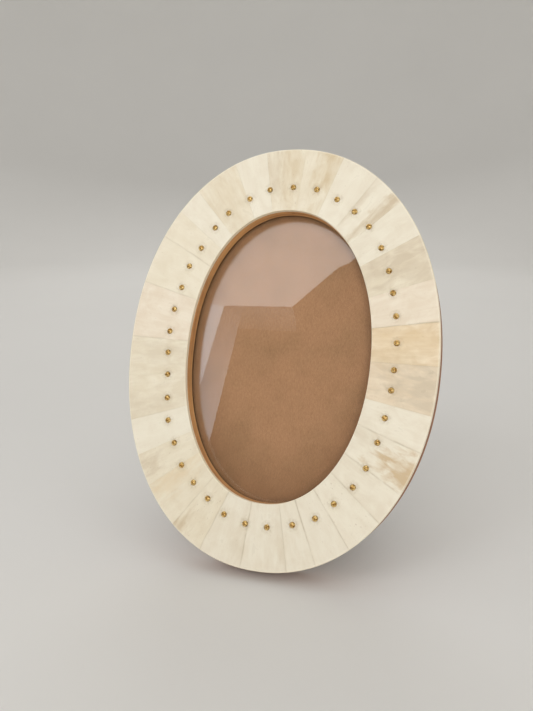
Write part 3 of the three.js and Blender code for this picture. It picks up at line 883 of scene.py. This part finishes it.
def pin_material():
    """Old brass, with a painted dark reflection on top and painted shade where it meets the bone."""
    material, tree, shader = new_material("pin_brass")
    place = object_millimetres(tree)
    height = height_of(tree, place)
    variety = node(tree, "ShaderNodeObjectInfo").outputs["Random"]
    shift = {0: variety, 1: PIN_VARIETY, 2: place}
    shifted = node(tree, "ShaderNodeVectorMath", shift, operation="MULTIPLY_ADD").outputs[0]
    patches = noise(tree, shifted, PIN_PATCHES)
    worn = mix(tree, shown(tree, patches, PIN_PATCHES), PIN_BRIGHT, PIN_DULL)
    # Painted dark reflection on the top of the head
    dark_top = mix(tree, spread(tree, height, PIN_TOP_REFLECTION_HEIGHTS, PIN_TOP_REFLECTION_SHARES), worn, PIN_TOP_REFLECTION)
    # Painted shade where the head meets the bone
    colour = mix(tree, spread(tree, height, PIN_FOOT_SHADE_HEIGHTS), dark_top, PIN_FOOT_SHADE)
    set_shader(tree, shader, Base_Color=colour, Metallic=1,
               Roughness=spread(tree, patches, MIDDLE, PIN_ROUGHNESS),
               Normal=bump(tree, patches, PIN_RELIEF))
    return material


def pin_mesh():
    """A dome-headed pin whose head beds in the bone."""
    crown = PIN_HEAD_HEIGHT + PIN_HEAD_BED
    profile = [
        (0, -PIN_LENGTH),
        (PIN_SHANK_RADIUS / 2, -PIN_LENGTH),
        (PIN_SHANK_RADIUS, -PIN_LENGTH + 2 * PIN_SHANK_RADIUS),
        (PIN_SHANK_RADIUS, -PIN_HEAD_BED),
        *dome(PIN_HEAD_RADIUS, -PIN_HEAD_BED, crown),
        (0, PIN_HEAD_HEIGHT),
    ]
    return turned_mesh("pin", profile)


def make_pins():
    """The ring of pins, each driven in a little askew."""
    material = pin_material()
    mesh = pin_mesh()
    for k, middle in enumerate(pin_places()):
        place = Matrix.Translation((*middle, 0))
        tilt = Matrix.Rotation(random.uniform(-PIN_TILT, PIN_TILT), 4, "X")
        tilt @= Matrix.Rotation(random.uniform(-PIN_TILT, PIN_TILT), 4, "Y")
        add_piece(f"pin_{k + 1:02d}", mesh, material, matrix=FACE @ place @ tilt)


# Core

# Light and dark colours of the wood on the walls, at the rim and at the back; the walls' colours are
# painted lighter than the others, as painted light
WALL_WOOD_LIT = (srgb(248, 192, 128), srgb(184, 120, 69))
RIM_WOOD = (srgb(184, 118, 67), srgb(136, 82, 45))
BACK_WOOD = (srgb(172, 113, 68), srgb(124, 79, 46))
WOOD_PATCH = srgb(110, 70, 42)
# Painted shade at the foot of the wall
WOOD_FOOT_SHADE = srgb(42, 20, 8)
WOOD_BARE = srgb(212, 156, 102)
# Grain that is drawn out along the ring, and straight up the back
RING_GRAIN = (0.04, 1, 1)
BACK_GRAIN = (1, 0.04, 1)
WOOD_FIBRES = Pattern(EVEN, 1.6, MIDDLE, 0.4, detail=4, roughness=0.6)
WOOD_BANDS = Pattern(EVEN, 0.28, (0.35, 0.65), 0.6, distortion=0.5)
WOOD_PATCHES = Pattern(EVEN, 0.05, (0.45, 0.75), 0.3)
WOOD_SCUFFS = Pattern(EVEN, 0.2, (0.42, 0.62), 0.8, detail=5, roughness=0.65)
WOOD_ROUGHNESS = (0.5, 0.68)
WOOD_SHEEN = 0.3


def wood_material(name, place, grain, colours):
    """Brown stained wood with its grain drawn out along one way."""
    material, tree, shader = new_material(name)
    even = mapped(tree, place(tree), (MM, MM, MM))
    drawn_out = mapped(tree, even, grain)
    fibres = noise(tree, drawn_out, WOOD_FIBRES)
    tone = maths(tree, "ADD", shown(tree, fibres, WOOD_FIBRES), share_of(tree, drawn_out, WOOD_BANDS))
    colour = mix(tree, tone, *colours)
    colour = mix(tree, share_of(tree, even, WOOD_PATCHES), colour, WOOD_PATCH)
    # Painted shade along the foot of the wall
    colour = mix(tree, attribute(tree, "foot"), colour, WOOD_FOOT_SHADE)
    colour = scuffed(tree, colour, even, WOOD_SCUFFS, WOOD_BARE)
    set_shader(tree, shader, Base_Color=colour, Roughness=spread(tree, fibres, MIDDLE, WOOD_ROUGHNESS),
               Normal=bump(tree, fibres, WOOD_RELIEF), Specular_IOR_Level=WOOD_SHEEN)
    return material


def core_section():
    """The ring's section as (inset, z), from the front edge at the rim to the rear edge at the rim."""
    ease = CORE_EDGE_ROUND
    rear = CORE_REAR_ROUND
    lip_inset = BORDER - ease
    foot = LEDGE_DEPTH + WALL_FOOT_SHADE
    rows = arc((0, CORE_FRONT - ease), (ease, CORE_FRONT - ease))
    rows += arc((lip_inset, CORE_FRONT), (lip_inset, CORE_FRONT - ease))
    rows += [Vector((BORDER, foot + WALL_FOOT_SHADE_FADE)), Vector((BORDER, foot))]
    rows += arc((BORDER, LEDGE_DEPTH + ease), (lip_inset, LEDGE_DEPTH + ease))
    rows += [Vector((REBATE_INSET, LEDGE_DEPTH))]
    rows += arc((REBATE_INSET, CORE_BACK + ease), (REBATE_INSET - ease, CORE_BACK + ease))
    return rows + arc((rear, CORE_BACK), (rear, CORE_BACK + rear))


def mark_core(mesh, rows):
    """Marks the wall's foot for painted shade, and the round of the rear edge, the last of the rows, as
    worn.
    """
    heights = [vertex.co.z - LEDGE_DEPTH for vertex in mesh.vertices]
    rows_to_end = [rows - vertex.index % rows for vertex in mesh.vertices]
    at_foot_shade = [float(-MERGE_DISTANCE < height < WALL_FOOT_SHADE + MERGE_DISTANCE) for height in heights]
    set_marks(mesh, "foot", at_foot_shade)
    set_marks(mesh, "worn", [float(1 < count <= ROUND_STEPS) for count in rows_to_end])


def make_core():
    """The wooden ring: a lip over the glass, and the rebate that holds glass, card and board."""
    rows = core_section()
    mesh = oval_mesh("core_ring", rows, ring=True)
    mark_core(mesh, len(rows))
    # The walls take a lighter copy of the wood, as painted light
    walls = wood_material("wood_walls", flow_place, RING_GRAIN, WALL_WOOD_LIT)
    add_piece("core_ring", mesh, walls, nodes=["frame_core"])
    mesh.materials.append(wood_material("wood_rim", flow_place, RING_GRAIN, RIM_WOOD))
    mesh.materials.append(wood_material("wood_back", object_place, BACK_GRAIN, BACK_WOOD))
    walls_slot, rim_slot, back_slot = range(3)
    for face in mesh.polygons:
        outward = face.normal.xy.dot(face.center.xy) > 0
        face.material_index = rim_slot if outward else walls_slot
        if face.normal.z < REAR_FACING:
            face.material_index = back_slot


# Glass, card and board

GLASS_CLEAR = srgb(250, 253, 252)
GLASS_SMUDGED = srgb(241, 246, 244)
GLASS_SHADOW = srgb(248, 252, 250)
GLASS_SMUDGES = Pattern(EVEN, 0.06, (0.45, 0.75), detail=5)
CARD_COLOURS = (srgb(184, 135, 98), srgb(154, 109, 76))
CARD_SPECK = srgb(112, 76, 51)
# Darker, browner colour of the card's painted shade
CARD_EDGE_SHADE = srgb(124, 82, 48)
CARD_FIBRES = Pattern((1, 0.3, 1), 2.2, MIDDLE, 0.7, detail=4, roughness=0.65)
CARD_CLOUDS = Pattern(EVEN, 0.09, MIDDLE, 0.25, detail=6, roughness=0.65)
CARD_SPECKS = Pattern(EVEN, 1.4, (0.74, 0.8), 0.5, detail=1)
# Painted shade towards the card's edges: where it starts and where it is full, and its shares
CARD_EDGE_SHADE_REACH = (0.78, 1.32)  # from the pale spot, with the opening's half width and height as one
CARD_EDGE_SHADE_SHARES = (0, 0.8)
CARD_ROUGHNESS = 0.85
BOARD_COLOURS = (srgb(34, 32, 30), srgb(58, 54, 50))
BOARD_BARE = srgb(122, 104, 86)
BOARD_FIBRES = Pattern(EVEN, 1.8, MIDDLE, 0.6, detail=4, roughness=0.7)
BOARD_WEAR = Pattern(EVEN, 0.04, (0.4, 0.7), 0.4, detail=4)
BOARD_SCUFFS = Pattern(EVEN, 0.3, (0.42, 0.62), 0.8, detail=5, roughness=0.65)
BOARD_ROUGHNESS = (0.7, 0.92)


def glass_material():
    """Clear glass with faint smudges, which lets the lamps through to the card."""
    material, tree, shader = new_material("clear_glass")
    smudges = share_of(tree, object_millimetres(tree), GLASS_SMUDGES)
    set_shader(tree, shader, Base_Color=mix(tree, smudges, GLASS_CLEAR, GLASS_SMUDGED), Roughness=0,
               Transmission_Weight=1, IOR=GLASS_BENDING)
    clear = node(tree, "ShaderNodeBsdfTransparent", {"Color": GLASS_SHADOW})
    shadow = node(tree, "ShaderNodeLightPath").outputs["Is Shadow Ray"]
    both = node(tree, "ShaderNodeMixShader", {0: shadow, 1: shader.outputs[0], 2: clear.outputs[0]})
    set_surface(tree, both)
    return material


def card_material():
    """Kraft card: short fibres, soft clouds, a few dark specks, and painted shade that darkens and browns
    it towards its lower left edge.
    """
    material, tree, shader = new_material("kraft_card")
    place = object_millimetres(tree)
    half = (FRAME_WIDTH / 2 - BORDER, FRAME_HEIGHT / 2 - BORDER)
    outwards = distance_from(tree, object_place(tree), CARD_PALE_SPOT, half)
    fibres = noise(tree, place, CARD_FIBRES)
    tone = maths(tree, "ADD", shown(tree, fibres, CARD_FIBRES), share_of(tree, place, CARD_CLOUDS))
    edge_shade = spread(tree, outwards, CARD_EDGE_SHADE_REACH, CARD_EDGE_SHADE_SHARES)
    colour = mix(tree, tone, *CARD_COLOURS)
    colour = mix(tree, share_of(tree, place, CARD_SPECKS), colour, CARD_SPECK)
    # Painted shade, darker and browner towards the card's lower left edge
    colour = mix(tree, edge_shade, colour, CARD_EDGE_SHADE)
    set_shader(tree, shader, Base_Color=colour, Roughness=CARD_ROUGHNESS,
               Normal=bump(tree, fibres, CARD_RELIEF))
    return material


def board_material():
    """Black fibreboard with a matted nap."""
    material, tree, shader = new_material("black_board")
    place = object_millimetres(tree)
    fibres = noise(tree, place, BOARD_FIBRES)
    tone = maths(tree, "ADD", shown(tree, fibres, BOARD_FIBRES), share_of(tree, place, BOARD_WEAR))
    colour = mix(tree, tone, *BOARD_COLOURS)
    colour = scuffed(tree, colour, place, BOARD_SCUFFS, BOARD_BARE)
    set_shader(tree, shader, Base_Color=colour, Roughness=spread(tree, fibres, MIDDLE, BOARD_ROUGHNESS),
               Normal=bump(tree, fibres, BOARD_RELIEF))
    return material


def make_inserts(board):
    """The glass, the card and the board in the rebate."""
    inserts = (
        ("glass_plate", "glass_pane", "glass", glass_material(), GLASS_BACK, GLASS_FRONT, GLASS_EASE),
        ("plain_card", "insert_card", "card", card_material(), CARD_BACK, CARD_FRONT, CARD_EASE),
        ("rear_panel", "backing_board", "board", board, CORE_BACK, BOARD_FRONT, PANEL_EASE),
    )
    for name, source, slot, material, low, high, ease in inserts:
        mesh = oval_plate(name, INSERT_INSET, low, high, ease)
        add_piece(name, mesh, material, nodes=[source])


# Fittings at the back

def stadium(length, width):
    """A bar's outline with round ends, from its pivot at the origin along x."""
    radius = width / 2
    turns = [math.pi / 2 + math.pi * k / BUTTON_END_STEPS for k in range(BUTTON_END_STEPS + 1)]
    near = [(radius * math.cos(a), radius * math.sin(a)) for a in turns]
    far = [(length - radius - x, -y) for x, y in near]
    return near + far


def screw_mesh():
    """A round-headed screw with a slot, its head towards +z and its seat at z = 0."""
    tip = -SCREW_SEAT - SCREW_LENGTH
    body = [
        (0, tip),
        (SCREW_SHANK_RADIUS / 2, tip),
        (SCREW_SHANK_RADIUS, tip + SCREW_SHANK_RADIUS),
        (SCREW_SHANK_RADIUS, 0),
        (SCREW_HEAD_FOOT_RADIUS, 0),
        *dome(SCREW_HEAD_RADIUS, SCREW_HEAD_WALL, SCREW_HEAD_HEIGHT - SCREW_HEAD_WALL),
        (0, SCREW_HEAD_HEIGHT),
    ]
    long = SCREW_SLOT_REACH
    wide = SCREW_SLOT_WIDTH / 2
    outline = [(-long, -wide), (long, -wide), (long, wide), (-long, wide)]
    low = SCREW_HEAD_HEIGHT - SCREW_SLOT_DEPTH
    slot = plate_mesh("slot", outline, low, 2 * SCREW_HEAD_HEIGHT, SCREW_SLOT_EASE)
    return cut_mesh(turned_mesh("screw", body), slot)


def button_mesh():
    """A turn button: a flat bar with round ends, bored for its screw."""
    rear = BUTTON_FRONT + BUTTON_THICKNESS
    bar = plate_mesh("button", stadium(BUTTON_REACH, BUTTON_WIDTH), BUTTON_FRONT, rear, BUTTON_EASE)
    bore = [(0, 0), (BUTTON_BORE_RADIUS, 0), (BUTTON_BORE_RADIUS, 2 * rear), (0, 2 * rear)]
    return cut_mesh(bar, turned_mesh("bore", bore))


def make_turn_buttons(brass):
    """A turn button and its screw at each joint that turns all the way round."""
    bar = button_mesh()
    screw = screw_mesh()
    to_face = FACE.inverted()
    for joint in frame["joints"]:
        if not joint.get("continuous"):
            continue
        button = joint["child"]
        side = button.removeprefix("turn_button_")
        pivot = to_face @ Vector(joint["pos_m"])
        low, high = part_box(button)
        reach = to_face @ ((low + high) / 2) - pivot
        heading = Matrix.Rotation(math.atan2(reach.y, reach.x), 4, "Z")
        place = FACE @ Matrix.Translation(pivot) @ heading @ REARWARD
        add_piece(f"button_{side}", bar, brass, button, place, [button])
        turn = Matrix.Rotation(random.uniform(0, math.pi), 4, "Z") @ Matrix.Translation((0, 0, SCREW_SEAT))
        add_piece(f"screw_{side}", screw, brass, "frame", place @ turn, [f"button_screw_{side}"])


def make_strut(board, steel):
    """The strut and the pieces of its hinge, refined from their solids."""
    still = Matrix.Identity(4)
    strut = refined_mesh("strut_board", "easel_strut", STRUT_EASE)
    add_piece("strut_board", strut, board, "strut", still, ["easel_strut"])
    for name, (source, body) in HINGE_PIECES.items():
        mesh = refined_mesh(name, source, HINGE_EASE)
        add_piece(name, mesh, steel, body, still, [source])


def rivet_mesh(name, seat, end):
    """A domed rivet with its head towards +z, from its flush end to the seat under its head."""
    profile = [
        (0, -end),
        (RIVET_SHANK_RADIUS, -end),
        (RIVET_SHANK_RADIUS, -seat),
        *dome(RIVET_HEAD_RADIUS, -seat, RIVET_HEAD_HEIGHT),
        (0, -seat + RIVET_HEAD_HEIGHT),
    ]
    return turned_mesh(name, profile)


def make_rivets(steel):
    """Two rivets through each leaf of the strut's hinge."""
    fold = next(joint for joint in frame["joints"] if joint["child"] == "strut")
    hinge = FACE.copy()
    hinge.translation = Vector(fold["pos_m"])
    open_strut = hinge @ Matrix.Rotation(STRUT_SPREAD, 4, "X")
    board_rivet = rivet_mesh("board_rivet", BOARD_RIVET_SEAT, BOARD_RIVET_END)
    strut_rivet = rivet_mesh("strut_rivet", STRUT_RIVET_SEAT, STRUT_RIVET_END)
    leaves = (
        ("board", "frame", hinge, RIVET_SETBACK, board_rivet),
        ("strut", "strut", open_strut, -RIVET_SETBACK, strut_rivet),
    )
    for leaf, body, axes, height, mesh in leaves:
        for side, x in (("left", -RIVET_SPREAD / 2), ("right", RIVET_SPREAD / 2)):
            place = axes @ Matrix.Translation((x, height, 0)) @ REARWARD
            add_piece(f"rivet_{leaf}_{side}", mesh, steel, body, place, [f"{leaf}_rivet_{side}"])


# Stage: floor, lights and camera

FLOOR_COLOURS = (srgb(226, 224, 220), srgb(220, 218, 214))
FLOOR_CLOUDS = Pattern(EVEN, 3.0, detail=4)
FLOOR_ROUGHNESS = 0.8


def floor_material():
    material, tree, shader = new_material("pale_floor")
    clouds = noise(tree, object_place(tree), FLOOR_CLOUDS)
    set_shader(tree, shader, Base_Color=mix(tree, clouds, *FLOOR_COLOURS), Roughness=FLOOR_ROUGHNESS)
    return material


def make_stage():
    """A pale floor that curves up into a wall all round."""
    made = bmesh.new()
    rises = [math.pi / 2 * k / COVE_STEPS for k in range(COVE_STEPS + 1)]
    profile = [(COVE_FLAT + COVE_ROUND * math.sin(a), COVE_ROUND * (1 - math.cos(a))) for a in rises]
    profile.append((COVE_FLAT + COVE_ROUND, COVE_HEIGHT))
    turns = [math.tau * k / COVE_SIDES for k in range(COVE_SIDES)]
    rings = [[made.verts.new((radius * math.cos(a), radius * math.sin(a), z)) for a in turns]
             for radius, z in profile]
    made.faces.new(rings[0])
    for low, high in zip(rings, rings[1:]):
        for k in range(COVE_SIDES):
            after = (k + 1) % COVE_SIDES
            made.faces.new((low[k], low[after], high[after], high[k]))
    mesh = finish_mesh("cove", made)
    mesh.materials.append(floor_material())
    cove = add_object("cove", mesh)


def add_softbox(name, centre, size, radiance, tint):
    """A soft rectangular light, as bright all over as its radiance says."""
    light = bpy.data.lights.new(name, "AREA")
    light.shape = "RECTANGLE"
    light.size, light.size_y = size
    light.energy = radiance * math.pi * size[0] * size[1]
    light.color = tint
    lamp = add_object(name, light)
    lamp.location = centre
    lamp.rotation_euler = (Vector(LIGHT_TARGET) - Vector(centre)).to_track_quat("-Z", "Y").to_euler()


def add_panel(name, place, corners, radiances, tint):
    """A panel in front of the frame that the glass mirrors and the camera doesn't see.

    It has one radiance at its foot and one at its top.
    """
    made = bmesh.new()
    made.faces.new([made.verts.new((x, place, z)) for x, z in corners])
    mesh = finish_mesh(name, made)
    material, tree, _ = new_material(name)
    heights = [z for _, z in corners]
    height = height_of(tree, object_place(tree))
    strength = spread(tree, height, (min(heights), max(heights)), radiances)
    lamp = node(tree, "ShaderNodeEmission", {"Color": (*tint, 1), "Strength": strength})
    set_surface(tree, lamp)
    mesh.materials.append(material)
    panel = add_object(name, mesh)
    panel.visible_camera = False
    return panel


def make_lights():
    """The panels, a dark flag behind them that only reflections meet, and the soft boxes."""
    for name, (corners, radiances, tint) in PANELS.items():
        add_panel(name, PANEL_PLACE, corners, radiances, tint)
    flag = add_panel("dark_flag", FLAG_PLACE, FLAG, FLAG_RADIANCES, FLAG_TINT)
    flag.visible_diffuse = False
    flag.visible_shadow = False
    for name, (centre, size, radiance, tint) in SOFT_BOXES.items():
        add_softbox(name, centre, size, radiance, tint)


def make_world():
    world = bpy.data.worlds.new("studio")
    world.use_nodes = True
    background = world.node_tree.nodes["Background"]
    background.inputs["Color"].default_value = WORLD_COLOUR
    background.inputs["Strength"].default_value = WORLD_STRENGTH
    bpy.context.scene.world = world


def make_camera():
    lens = bpy.data.cameras.new("photo_camera")
    lens.sensor_width = CAMERA_SENSOR
    lens.lens = CAMERA_LENS
    camera = add_object("photo_camera", lens)
    camera.location = CAMERA_PLACE
    camera.rotation_euler = CAMERA_TURN
    bpy.context.scene.camera = camera


board = board_material()
steel = metal_material("zinc_steel", *STEEL)
brass = metal_material("button_brass", *BRASS)
make_bone_face()
make_pins()
make_core()
make_inserts(board)
make_turn_buttons(brass)
make_strut(board, steel)
make_rivets(steel)
make_stage()
make_lights()
make_world()
make_camera()
bpy.context.scene.view_settings.view_transform = "Standard"
